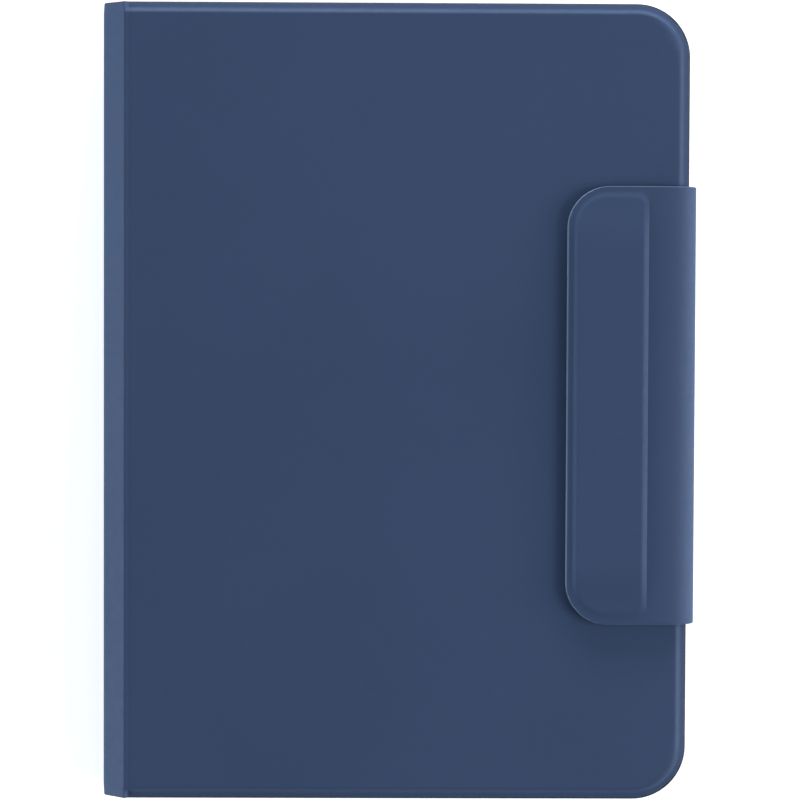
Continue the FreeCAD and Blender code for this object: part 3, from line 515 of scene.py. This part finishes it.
CAD_FINISH = {
    "back_board_lower": BOARD,
    "back_board_upper": BOARD,
    "front_cover_board": BOARD,
    "flap_stiffener": BOARD,
    "spine_stiffener": BOARD,
    "back_cover_lining": LINING,
    "front_cover_lining": LINING,
    "tray_bond_sheet": GLUE,
    "tablet_tray": TRAY,
    "camera_ring": RUBBER,
    "power_button_pad": RUBBER,
    "volume_up_pad": RUBBER,
    "volume_down_pad": RUBBER,
    "keyboard_top_case": DECK,
    "keyboard_bottom_case": DECK,
    "grip_strip": RUBBER,
    "bumper_pads": RUBBER,
    "indicator_lights": LIGHT_PIPE,
    "power_switch": SWITCH,
    "pairing_button": SWITCH,
    "charging_port": STEEL,
    "case_screws": STEEL,
    "closure_steel_plate": STEEL,
    "support_plate": STEEL,
    "flap_magnets": MAGNET,
    "stand_magnets": MAGNET,
    "battery_cell": FOIL,
    "circuit_board": CIRCUIT,
    "key_membrane": SILICONE,
}
for node, finish in CAD_FINISH.items():
    mesh = frame["nodes"][node].data
    mesh.materials.clear()
    mesh.materials.append(finish)


# ---- the case's leather: back cover, spine and front cover as one section


FOLD_RADII = [1.8 * MM, 2.4 * MM, 2.4 * MM, 0.6 * MM]
CASE = Section(
    rounded(
        [
            (FREE_EDGE, 0),
            (CREASE, 0),
            (WALL, SHOULDER),
            (WALL, TOP - SHOULDER),
            (TOP_CREASE, TOP),
            (FREE_EDGE, TOP),
        ],
        FOLD_RADII,
    )
)
SPINE_START = CASE.nearest(CREASE, 0)
SPINE_END = CASE.nearest(TOP_CREASE, TOP)
LOWER_MIDDLE = CASE.nearest(CREASE - SHOULDER / 2, SHOULDER / 2)
WALL_MIDDLE = CASE.nearest(WALL, TOP / 2)
UPPER_MIDDLE = CASE.nearest(CREASE - SHOULDER / 2, TOP - SHOULDER / 2)
STAND_CREASE = (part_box("back_board_lower")[1].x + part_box("back_board_upper")[0].x) / 2

FOLD_REACH = 3.2 * MM
BOARD_START = 1.5 * MM
BOARD_BLEND = 2 * MM
# Width of the band of painted shade along the case's outline.
EDGE_SHADE_WIDTH = 0.3 * MM
HEM_WIDTH = 1.6 * MM
STEP_DEPTH = 0.98 * MM
STEP_START = 3.6 * MM
FLANGE_WIDTH = 1.9 * MM
FLANGE_FALL = 0.52 * MM
TURN_RADIUS = 0.45 * MM
STAND_HALF, STAND_DEPTH = 1.7 * MM, 0.35 * MM
LINE_AWAY, LINE_HALF, LINE_DEPTH = 1.6 * MM, 1.0 * MM, 0.1 * MM


def smooth(t):
    """A soft step from 0 to 1."""
    t = max(0.0, min(1.0, t))
    return t * t * (3 - 2 * t)


def on_cover(s):
    """1 over the boards of the covers and 0 over the spine."""
    into_spine = min(s - (SPINE_START - BOARD_START), (SPINE_END + BOARD_START) - s)
    return 1 - smooth(into_spine / BOARD_BLEND)


def case_rim(s, gap):
    """The step down from the board, the pressed flange outside it, and the turned edge.

    Step and flange all but fade out over the spine.
    """
    covered = on_cover(s)
    step = STEP_DEPTH * smooth((STEP_START - gap) / FLANGE_WIDTH) * (0.1 + 0.9 * covered)
    flange = FLANGE_FALL * max(0.0, 1 - gap / FLANGE_WIDTH) * (0.2 + 0.8 * covered)
    turned = 1 - math.sqrt(1 - max(0.0, 1 - gap / TURN_RADIUS) ** 2)
    return step + flange + turned * TURN_RADIUS


def case_thick(s):
    """Full thickness over the boards, less over the spine's stiffener, least at the shoulders."""
    covered = on_cover(s)
    wall = smooth(1.4 - abs(s - WALL_MIDDLE) / FOLD_REACH)
    spine = SHEET_THICK + wall * (SPINE_THICK - SHEET_THICK)
    return covered * COVER_THICK + (1 - covered) * spine


def groove(away, half, depth):
    """A pressed line, by the distance from its middle."""
    return -depth * (0.5 + 0.5 * math.cos(math.pi * min(1.0, abs(away) / half)))


def case_relief(s, _y):
    """The stand's crease across the back, and a faint line beside each end of the spine."""
    stand = groove(FREE_EDGE - s - STAND_CREASE, STAND_HALF, STAND_DEPTH)
    front = groove(s - SPINE_END - LINE_AWAY, LINE_HALF, LINE_DEPTH)
    back = groove(s - SPINE_START + LINE_AWAY, LINE_HALF, LINE_DEPTH)
    return stand + front + back


# The case's band of painted shade is this wide all round its outline.
def case_ring(_s):
    return EDGE_SHADE_WIDTH


case = Sheet(
    CASE,
    (-LENGTH_HALF, LENGTH_HALF),
    CASE_CORNER,
    (True, True),
    COVER_INSETS,
    rim=case_rim,
    thick=case_thick,
    relief=case_relief,
    ring=case_ring,
    hem=HEM_WIDTH,
)

FLAT_STEP = 9 * MM
SPINE_STEP = 0.35 * MM


def round_fold(s):
    """Close stations on both sides of a fold."""
    return spread(s - FOLD_REACH, s + FOLD_REACH, 0.2 * MM)


free_corner = corner_stations(CASE_CORNER)
stand = FREE_EDGE - STAND_CREASE
around_stand = 2 * MM
back_stations = merged(
    free_corner,
    spread(CASE_CORNER, stand - around_stand, FLAT_STEP),
    spread(stand - around_stand, stand + around_stand, 0.25 * MM),
    spread(stand + around_stand, SPINE_START - FOLD_REACH, FLAT_STEP),
    round_fold(SPINE_START),
    [LOWER_MIDDLE],
)
lower_stations = spread(LOWER_MIDDLE, WALL_MIDDLE, SPINE_STEP)
upper_stations = spread(WALL_MIDDLE, UPPER_MIDDLE, SPINE_STEP)
front_stations = merged(
    [UPPER_MIDDLE],
    round_fold(SPINE_END),
    spread(SPINE_END + FOLD_REACH, CASE.length - CASE_CORNER, FLAT_STEP),
    [CASE.length - v for v in free_corner],
)
back_stations = [s for s in back_stations if s <= LOWER_MIDDLE + 1e-9]
front_stations = [s for s in front_stations if s >= UPPER_MIDDLE - 1e-9]

# The case's edge faces and outline band take the dark painted shade.
back_wrap = case.build("back_cover_wrap", back_stations, EDGE_SHADE)
lower_wrap = case.build("spine_wrap_lower", lower_stations, EDGE_SHADE)
upper_wrap = case.build("spine_wrap_upper", upper_stations, EDGE_SHADE)
front_wrap = case.build("front_cover_wrap", front_stations, EDGE_SHADE)


def across(section, s, reach):
    """The points on a section just before and after a fold."""
    before, after = section.at(s - reach), section.at(s + reach)
    return (before[0], 0, before[1]), (after[0], 0, after[1])


BEND_REACH = 1.6 * MM
lower_fold = CASE.nearest(WALL, SHOULDER)
upper_fold = CASE.nearest(WALL, TOP - SHOULDER)
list(across(CASE, SPINE_START, BEND_REACH))
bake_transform(back_wrap)
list(across(CASE, lower_fold, BEND_REACH))
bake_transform(lower_wrap)
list(across(CASE, upper_fold, BEND_REACH))
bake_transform(upper_wrap)
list(across(CASE, SPINE_END, BEND_REACH))
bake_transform(front_wrap)
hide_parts("back_cover_skin", "lower_shoulder_skin", "lower_shoulder_lining")
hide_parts("spine_skin", "spine_lining")
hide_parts("upper_shoulder_skin", "upper_shoulder_lining")
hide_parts("front_cover_skin")


# ---- the closing flap


BEND_LENGTH = 16.4 * MM
# How far the bend's control points lie in from the strap, out beyond it, and below the tab.
BEND_PULL, BEND_OUT, BEND_DROP = 6.2 * MM, 0.6 * MM, 0.3 * MM
BEND_LEFT = FLAP_HIGH.x - BEND_LENGTH
STRAP_TOP = 15.0 * MM
ROOT_END = 91.7 * MM
ROOT_RADIUS = 2.2 * MM
ROOT_START = 2.4 * MM
root_turn = rounded([(FLAP_HIGH.x, STRAP_TOP), (FLAP_HIGH.x, 0), (ROOT_END, 0)], [ROOT_RADIUS])
FLAP = Section(
    dense([np.array([FLAP_LOW.x, FLAP_HIGH.z]), np.array([BEND_LEFT, FLAP_HIGH.z])])
    + bezier(
        (BEND_LEFT, FLAP_HIGH.z),
        (FLAP_HIGH.x - BEND_PULL, FLAP_HIGH.z),
        (FLAP_HIGH.x + BEND_OUT, FLAP_HIGH.z - BEND_DROP),
        (FLAP_HIGH.x, STRAP_TOP),
    )
    + root_turn
)
BEND_START = FLAP.nearest(BEND_LEFT, FLAP_HIGH.z)
BEND_END = FLAP.nearest(FLAP_HIGH.x, STRAP_TOP)
BEND_MIDDLE = (BEND_START + BEND_END) / 2
STRAP_MIDDLE = FLAP.nearest(FLAP_HIGH.x, STRAP_TOP / 2)

PANEL_RISE, PANEL_END_LOSS, PANEL_END_REACH = 0.95 * MM, 0.6 * MM, 16 * MM
SLOPE, SLOPE_GAIN = 1.0 * MM, 0.4 * MM
SLOPE_FROM, SLOPE_OVER = 60 * MM, 18 * MM
PANEL_CORNER, PANEL_STRAP_CORNER = 10.5 * MM, 3.4 * MM
CUT_RADIUS = 0.3 * MM
STRAP_THINNER, STRAP_THINS_OVER = 0.25 * MM, 8 * MM
# Width of the pale cut edge with its painted highlight at the tab's end, and how much of it is
# lost along the strap's sides.
CUT_RING, CUT_RING_LOSS = 0.42 * MM, 0.36 * MM


def panel_gap(x, y):
    """Distance outside the raised panel's outline, negative inside it."""
    middle = (PANEL_LOW + PANEL_HIGH) / 2
    half = (PANEL_HIGH - PANEL_LOW) / 2
    corner = PANEL_CORNER if x < middle.x else PANEL_STRAP_CORNER
    along = abs(x - middle.x) - half.x + corner
    beside = abs(y - middle.y) - half.y + corner
    return math.hypot(max(along, 0), max(beside, 0)) + min(max(along, beside), 0) - corner


def flap_relief(s, y):
    """The panel stands proud on soft slopes, lower at its ends and broader beside the strap."""
    if s > BEND_START:
        return 0.0
    x = FLAP_LOW.x + s
    from_end = min(y - PANEL_LOW.y, PANEL_HIGH.y - y)
    slope = SLOPE + SLOPE_GAIN * smooth((x - SLOPE_FROM) / SLOPE_OVER)
    rise = PANEL_RISE - PANEL_END_LOSS * smooth(1 - from_end / PANEL_END_REACH)
    return rise * smooth(0.5 - panel_gap(x, y) / (2 * slope))


def flap_edge(_s, gap):
    """A cut edge, barely rounded."""
    cut = 1 - math.sqrt(1 - max(0.0, 1 - gap / CUT_RADIUS) ** 2)
    return CUT_RADIUS * cut


def flap_thick(s):
    """The tab's thickness, less over the bend and the strap."""
    return SHEET_THICK - STRAP_THINNER * smooth((s - BEND_START) / STRAP_THINS_OVER)


def flap_ring(s):
    """The pale cut edge with its painted highlight, wider round the tab's end than along the
    strap's sides.
    """
    return CUT_RING - CUT_RING_LOSS * smooth((s - FLAP_CORNER / 2) / (FLAP_CORNER / 2))


flap = Sheet(
    FLAP,
    (FLAP_LOW.y, FLAP_HIGH.y),
    FLAP_CORNER,
    (True, False),
    FLAP_INSETS,
    rim=flap_edge,
    thick=flap_thick,
    relief=flap_relief,
    ring=flap_ring,
    hem=0.0,
)
panel_left = PANEL_LOW.x - FLAP_LOW.x
panel_right = PANEL_HIGH.x - FLAP_LOW.x
left_slope, right_slope = 1.4 * MM, 2 * MM
slope_step = 0.28 * MM
cut_stations = [0.08 * MM, 0.2 * MM, 0.35 * MM]
strap_foot = FLAP.nearest(FLAP_HIGH.x, ROOT_START)
tab_stations = merged(
    corner_stations(FLAP_CORNER),
    cut_stations,
    spread(panel_left - left_slope, panel_left + left_slope, slope_step),
    spread(FLAP_CORNER, panel_right - right_slope, 1.4 * MM),
    spread(panel_right - right_slope, panel_right + right_slope, slope_step),
    spread(BEND_START, BEND_MIDDLE, 0.35 * MM),
)
bend_stations = spread(BEND_MIDDLE, STRAP_MIDDLE, 0.5 * MM)
root_stations = merged(
    spread(STRAP_MIDDLE, strap_foot, 1.5 * MM),
    spread(strap_foot, FLAP.length, 0.25 * MM),
)
# The flap's edge faces and outline band take the pale cut edge with its painted highlight.
tab_wrap = flap.build("flap_tab_wrap", tab_stations, CUT_EDGE_AND_HIGHLIGHT)
bend_wrap = flap.build("flap_bend_wrap", bend_stations, CUT_EDGE_AND_HIGHLIGHT)
root_wrap = flap.build("flap_root_wrap", root_stations, CUT_EDGE_AND_HIGHLIGHT)


def between(section, first, last):
    """The points on a section at two distances along it."""
    start, end = section.at(first), section.at(last)
    return (start[0], 0, start[1]), (end[0], 0, end[1])


HALF_GAP = 0.5 * MM
BEND_FIRST = between(FLAP, BEND_START, BEND_MIDDLE - HALF_GAP)
BEND_SECOND = between(FLAP, BEND_MIDDLE + HALF_GAP, BEND_END)
ROOT_TURN = FLAP.length - 3.35 * MM
ROOT_TURN_LENGTH = 3.4 * MM
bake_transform(tab_wrap)
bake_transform(bend_wrap)
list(between(FLAP, ROOT_TURN - ROOT_TURN_LENGTH, ROOT_TURN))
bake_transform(root_wrap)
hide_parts("flap_tab_skin", "flap_tab_lining")
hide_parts("flap_shoulder_sheet")
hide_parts("flap_strap_skin", "flap_strap_lining")


# ---- key caps with their legends


def solids_in(node):
    """The box of each separate solid in a CAD node, from the user's left to the right."""
    bm = bmesh.new()
    bm.from_mesh(frame["nodes"][node].data)
    bmesh.ops.remove_doubles(bm, verts=bm.verts, dist=1e-6)
    seen, boxes = set(), []
    for first in bm.verts:
        if first in seen:
            continue
        seen.add(first)
        stack, island = [first], []
        while stack:
            vert = stack.pop()
            island.append(vert.co.copy())
            for edge in vert.link_edges:
                other = edge.other_vert(vert)
                if other not in seen:
                    seen.add(other)
                    stack.append(other)
        boxes.append((Vector(map(min, *island)), Vector(map(max, *island))))
    bm.free()
    return sorted(boxes, key=lambda box: -box[0].y)


def outline(low, high, inset, corner, z, turns=6, least=0.15 * MM):
    """A rounded rectangle inset from a box, as points at one level."""
    radius = max(least, corner - inset)
    points = []
    corners = ((high.x, high.y), (low.x, high.y), (low.x, low.y), (high.x, low.y))
    for quarter, (x, y) in enumerate(corners):
        middle_x = x + (inset + radius) * (-1 if x == high.x else 1)
        middle_y = y + (inset + radius) * (-1 if y == high.y else 1)
        for k in range(turns + 1):
            angle = math.pi / 2 * (quarter + k / turns)
            along = middle_x + radius * math.cos(angle)
            beside = middle_y + radius * math.sin(angle)
            points.append((along, beside, z))
    return points


SHORT_KEY = 8 * MM
CAP_CORNER = 1.4 * MM
# A cap's profile in millimetres: how far in from its outline, and up from its finger face.
CAP_PROFILE = [(0.0, 2.5), (0.0, 0.75), (0.04, 0.45), (0.15, 0.2), (0.32, 0.06)]
CAP_PROFILE += [(0.55, 0.0), (0.95, 0.02), (1.9, 0.1), (2.9, 0.13)]


def add_cap(bm, low, high):
    """A cap with a soft edge and a shallow dish, its finger face at the box's lowest level."""
    steps = CAP_PROFILE[:-1] if high.x - low.x < SHORT_KEY else CAP_PROFILE
    rings = []
    for inset, up in steps:
        ring = outline(low, high, inset * MM, CAP_CORNER, low.z + up * MM)
        rings.append([bm.verts.new(p) for p in ring])
    for first, second in zip(rings, rings[1:]):
        for k in range(len(first)):
            n = (k + 1) % len(first)
            bm.faces.new((first[k], second[k], second[n], first[n]))
    bm.faces.new(rings[-1][::-1])
    bm.faces.new(rings[0])


def circle(bm, x, y, z, radius, around):
    """A ring of new points at one level."""
    ring = []
    for n in range(around):
        turn = math.tau * n / around
        ring.append(bm.verts.new((x + radius * math.cos(turn), y + radius * math.sin(turn), z)))
    return ring


def add_dome(bm, low, high, around=20):
    """A rubber dome standing on the membrane at the top of its box.

    It has a flat foot, a skirt and a dished tip.
    """
    middle = (low + high) / 2
    foot = (high.x - low.x) / 2
    tip = foot * 0.54
    profile = [(0, 0), (foot, 0), (foot, 0.08), (foot * 0.93, 0.14), (foot * 0.72, 0.6)]
    profile += [(tip * 1.06, 0.86), (tip, 0.97), (tip * 0.88, 1.0), (tip * 0.7, 0.98)]
    profile += [(tip * 0.6, 0.9), (0, 0.88)]
    rings = []
    for radius, share in profile:
        z = high.z + (low.z - high.z) * share
        if radius == 0:
            rings.append([bm.verts.new((middle.x, middle.y, z))] * around)
        else:
            rings.append(circle(bm, middle.x, middle.y, z, radius, around))
    for first, second in zip(rings, rings[1:]):
        for n in range(around):
            corners = (first[n], second[n], second[(n + 1) % around], first[(n + 1) % around])
            bm.faces.new(list(dict.fromkeys(corners)))


def finished(name, bm, material, body, smooth_faces=True):
    """A bmesh as an object that rides on a body."""
    mesh = bpy.data.meshes.new(name)
    bmesh.ops.recalc_face_normals(bm, faces=bm.faces)
    bm.to_mesh(mesh)
    bm.free()
    mesh.materials.append(material)
    mesh.polygons.foreach_set("use_smooth", [smooth_faces] * len(mesh.polygons))
    piece = bpy.data.objects.new(name, mesh)
    bpy.context.scene.collection.objects.link(piece)
    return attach(piece, body)


def add_text(bm, words, x, y, z, height):
    """Flat lettering that faces down and reads from the user's side."""
    curve = bpy.data.curves.new("legend", "FONT")
    curve.body = words
    curve.size = height
    curve.align_x, curve.align_y = "CENTER", "CENTER"
    curve.resolution_u = 3
    writer = bpy.data.objects.new("legend", curve)
    mesh = bpy.data.meshes.new_from_object(writer)
    turn = Matrix(((0, -1, 0, x), (-1, 0, 0, y), (0, 0, -1, z), (0, 0, 0, 1)))
    mesh.transform(turn)
    bm.from_mesh(mesh)
    bpy.data.meshes.remove(mesh)
    bpy.data.objects.remove(writer)
    bpy.data.curves.remove(curve)


def add_arrow(bm, x, y, z, points_to, reach=1.3 * MM):
    """A small triangle that points up, down, left or right for the user."""
    ahead = {"up": (-1, 0), "down": (1, 0), "left": (0, 1), "right": (0, -1)}[points_to]
    side = (-ahead[1], ahead[0])
    back = (-0.6 * ahead[0], -0.6 * ahead[1])
    tips = [
        ahead,
        (side[0] + back[0], side[1] + back[1]),
        (back[0] - side[0], back[1] - side[1]),
    ]
    bm.faces.new([bm.verts.new((x + reach * a, y + reach * b, z)) for a, b in tips])


LETTER, WORD, SMALL = 4.4 * MM, 2.7 * MM, 2.5 * MM
LEGENDS = {
    "number_keys": (list("`1234567890-="), LETTER),
    "backspace_key": (["back"], WORD),
    "tab_key": (["tab"], WORD),
    "upper_letter_keys": (list("QWERTYUIOP[]\\"), LETTER),
    "caps_key": (["caps"], WORD),
    "home_letter_keys": (list("ASDFGHJKL;'"), LETTER),
    "enter_key": (["enter"], WORD),
    "left_shift_key": (["shift"], WORD),
    "lower_letter_keys": (list("ZXCVBNM,./"), LETTER),
    "right_shift_key": (["shift"], WORD),
    "modifier_keys": (["fn", "ctrl", "alt", "sym", "alt"], WORD),
    "function_keys": (["esc"] + [f"F{n}" for n in range(1, 13)] + ["del"], SMALL),
    "space_key": ([""], WORD),
    "left_arrow_key": (["left"], 0),
    "right_arrow_key": (["right"], 0),
    "up_arrow_key": (["up"], 0),
    "down_arrow_key": (["down"], 0),
}
INK_ON_SHORT, INK_ON_TALL = 0.085 * MM, 0.115 * MM
DOMES = solids_in("rubber_domes")
for node, (words, height) in LEGENDS.items():
    caps, legends, domes = bmesh.new(), bmesh.new(), bmesh.new()
    for (low, high), word in zip(solids_in(node), words):
        add_cap(caps, low, high)
        middle = (low + high) / 2
        ink = low.z + (INK_ON_SHORT if high.x - low.x < SHORT_KEY else INK_ON_TALL)
        if height == 0:
            add_arrow(legends, middle.x, middle.y, ink, word)
        elif word:
            add_text(legends, word, middle.x, middle.y, ink, height)
        for dome in DOMES:
            spot = (dome[0] + dome[1]) / 2
            if low.x < spot.x < high.x and low.y < spot.y < high.y:
                add_dome(domes, *dome)
    dome_piece = finished(node + "_domes", domes, SILICONE, "front_cover")
    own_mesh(dome_piece)
    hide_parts("rubber_domes")
    cap_piece = finished(node + "_caps", caps, CAP, node)
    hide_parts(node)
    if legends.verts:
        finished(node + "_legends", legends, LEGEND, node, smooth_faces=False)
    else:
        legends.free()


# ---- floor, light and camera


FLOOR_GAP = 0.3 * MM


def area_light(name, place, across_size, up_size, power, colour=(1, 1, 1)):
    """A softbox aimed at the middle of the front cover."""
    light = bpy.data.lights.new(name, "AREA")
    light.shape = "RECTANGLE"
    light.size, light.size_y = across_size, up_size
    light.energy = power
    light.color = colour
    lamp = bpy.data.objects.new(name, light)
    lamp.location = place
    aim = Vector((0, 0, TOP)) - Vector(place)
    lamp.rotation_euler = aim.to_track_quat("-Z", "Y").to_euler()
    lamp.visible_camera = False
    bpy.context.scene.collection.objects.link(lamp)


def backdrop(reach=3.6, cove=0.9, around=64):
    """A pale floor that curves up all round into a low wall."""
    profile = [(reach * k / 4, 0.0) for k in range(1, 5)]
    for k in range(1, 9):
        angle = math.pi / 2 * k / 8
        profile.append((reach + cove * math.sin(angle), cove * (1 - math.cos(angle))))
    bm = bmesh.new()
    centre = bm.verts.new((0, 0, 0))
    rings = [circle(bm, 0, 0, height, radius, around) for radius, height in profile]
    for n in range(around):
        bm.faces.new((centre, rings[0][n], rings[0][(n + 1) % around]))
        for low, high in zip(rings, rings[1:]):
            bm.faces.new((low[n], high[n], high[(n + 1) % around], low[(n + 1) % around]))
    mesh = bpy.data.meshes.new("backdrop")
    bm.to_mesh(mesh)
    bm.free()
    mesh.polygons.foreach_set("use_smooth", [True] * len(mesh.polygons))
    made = Finish(
        "backdrop_paper",
        0.9,
        Specular_IOR_Level=0.1,
        Emission_Color=(1, 1, 1, 1),
        Emission_Strength=0.54,
    )
    made.colours(made.noise(3.0), srgb(0.975, 0.975, 0.975), srgb(0.985, 0.985, 0.985))
    mesh.materials.append(made.material)
    ground = bpy.data.objects.new("backdrop", mesh)
    ground.location.z = -FLOOR_GAP
    bpy.context.scene.collection.objects.link(ground)


backdrop()
area_light("key", (1.75, -0.25, 0.95), 1.2, 0.9, 28)
area_light("left", (-2.2, -0.5, 0.31), 1.8, 0.5, 45, (0.82, 0.94, 1.0))
area_light("right", (2.2, 0.0, 0.31), 2.4, 0.5, 29)
area_light("far", (0.0, 2.3, 0.33), 2.4, 0.5, 95, (0.90, 0.96, 1.0))

world = bpy.data.worlds.new("studio")
world.use_nodes = True
sky = world.node_tree.nodes["Background"]
sky.inputs["Color"].default_value = (0.93, 0.96, 1.0, 1)
sky.inputs["Strength"].default_value = 0.28
bpy.context.scene.world = world
bpy.context.scene.view_settings.view_transform = "Standard"

camera = bpy.data.objects.new("camera", bpy.data.cameras.new("camera"))
camera.data.lens = 120
camera.data.sensor_width = 36
camera.data.clip_end = 10
camera.location = (-0.0084, 0.0309, 0.8916)
camera.rotation_euler = [math.radians(a) for a in (-1.98, -0.573, 0.235)]
bpy.context.scene.collection.objects.link(camera)
bpy.context.scene.camera = camera
